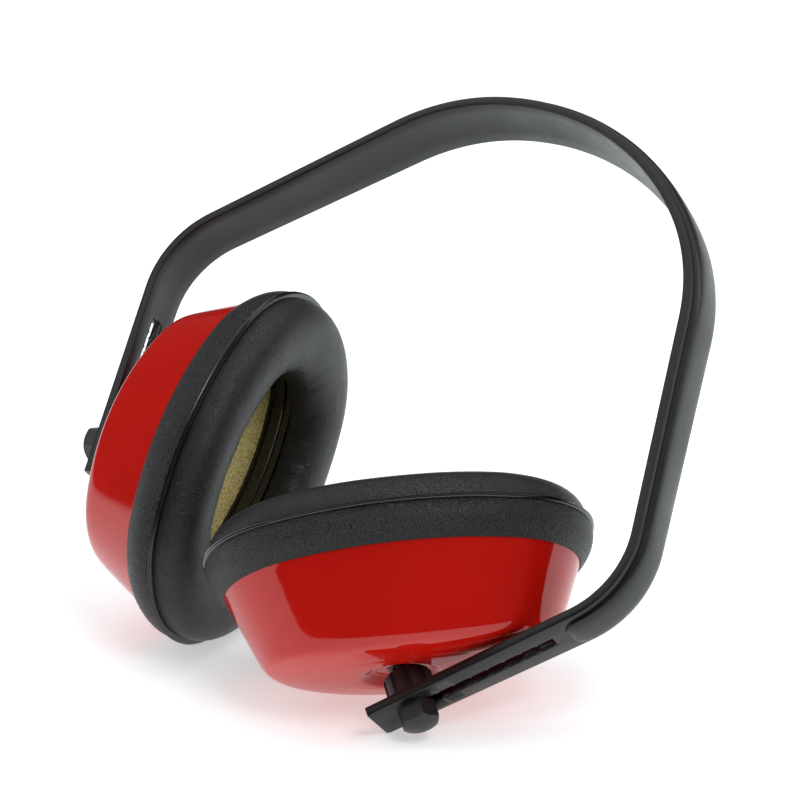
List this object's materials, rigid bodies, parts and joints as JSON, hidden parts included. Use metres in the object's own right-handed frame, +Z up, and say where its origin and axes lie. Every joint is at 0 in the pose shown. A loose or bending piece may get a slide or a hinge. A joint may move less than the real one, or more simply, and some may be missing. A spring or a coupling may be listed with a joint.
{
  "type": "earmuff hearing protector",
  "caption": "Over-head hearing protector: plastic headband with slotted legs and oval ear cups on ball swivels, with foam-filled cushions.",
  "frame": {"origin": "on the bench plane, under the centre of the muff's box, as it is put down at rest", "axes": "+Z up from the bench; +X to the wearer's right cup along the band's width, seen level; +Y towards the band's crown, level"},
  "size_m": [0.1966, 0.1515, 0.1517],
  "materials": {
    "band_plastic": "satin moulded black nylon",
    "knob_plastic": "satin moulded black plastic",
    "washer_nylon": "natural nylon",
    "shell_red": "polished red ABS",
    "liner_foam": "open-cell yellow foam",
    "plate_plastic": "glossy black plastic",
    "skirt_vinyl": "fine pebble-grained black vinyl",
    "core_foam": "soft grey foam",
    "cover_leatherette": "semi-gloss black leatherette"
  },
  "bodies": {
    "headband": {"headband": "band_plastic"},
    "left_stem_body": {"left_stem": "knob_plastic"},
    "left_collar_body": {"left_collar": "knob_plastic"},
    "left_washer_body": {"left_ball_washer": "washer_nylon"},
    "left_cup_body": {"left_cup_shell": "shell_red", "left_ball_retainer": "washer_nylon", "left_foam_liner": "liner_foam", "left_cushion_plate": "plate_plastic", "left_cushion_skirt": "skirt_vinyl", "left_cushion_foam": "core_foam", "left_cushion_cover": "cover_leatherette"},
    "right_stem_body": {"right_stem": "knob_plastic"},
    "right_collar_body": {"right_collar": "knob_plastic"},
    "right_washer_body": {"right_ball_washer": "washer_nylon"},
    "right_cup_body": {"right_cup_shell": "shell_red", "right_ball_retainer": "washer_nylon", "right_foam_liner": "liner_foam", "right_cushion_plate": "plate_plastic", "right_cushion_skirt": "skirt_vinyl", "right_cushion_foam": "core_foam", "right_cushion_cover": "cover_leatherette"}
  },
  "joints": [
    {"name": "left_height", "type": "slide", "parent": "headband", "child": "left_stem_body", "axis": [-0.2782, 0.623, 0.7311], "range_m": [0, 0.02]},
    {"name": "left_spin", "type": "hinge", "parent": "left_stem_body", "child": "left_collar_body", "pos_m": [-0.06423, -0.04077, 0.05028], "axis": [0.9409, 0.3299, 0.077], "range_deg": [-10, 10]},
    {"name": "left_tilt_along", "type": "hinge", "parent": "left_collar_body", "child": "left_washer_body", "pos_m": [-0.06423, -0.04077, 0.05028], "axis": [0.2052, -0.7359, 0.6452], "range_deg": [-3, 6]},
    {"name": "left_tilt_across", "type": "hinge", "parent": "left_washer_body", "child": "left_cup_body", "pos_m": [-0.06423, -0.04077, 0.05028], "axis": [-0.1285, 0.6333, 0.7632], "range_deg": [-5, 5]},
    {"name": "right_height", "type": "slide", "parent": "headband", "child": "right_stem_body", "axis": [0.6218, 0.623, 0.4746], "range_m": [0, 0.02]},
    {"name": "right_spin", "type": "hinge", "parent": "right_stem_body", "child": "right_collar_body", "pos_m": [0.04443, -0.04077, 0.01931], "axis": [-0.759, 0.3298, 0.5614], "range_deg": [-10, 8]},
    {"name": "right_tilt_along", "type": "hinge", "parent": "right_collar_body", "child": "right_washer_body", "pos_m": [0.04443, -0.04077, 0.01931], "axis": [-0.4095, 0.4285, -0.8054], "range_deg": [-6, 2]},
    {"name": "right_tilt_across", "type": "hinge", "parent": "right_washer_body", "child": "right_cup_body", "pos_m": [0.04443, -0.04077, 0.01931], "axis": [0.6307, 0.7709, 0.0895], "range_deg": [-7, 2]}
  ]
}
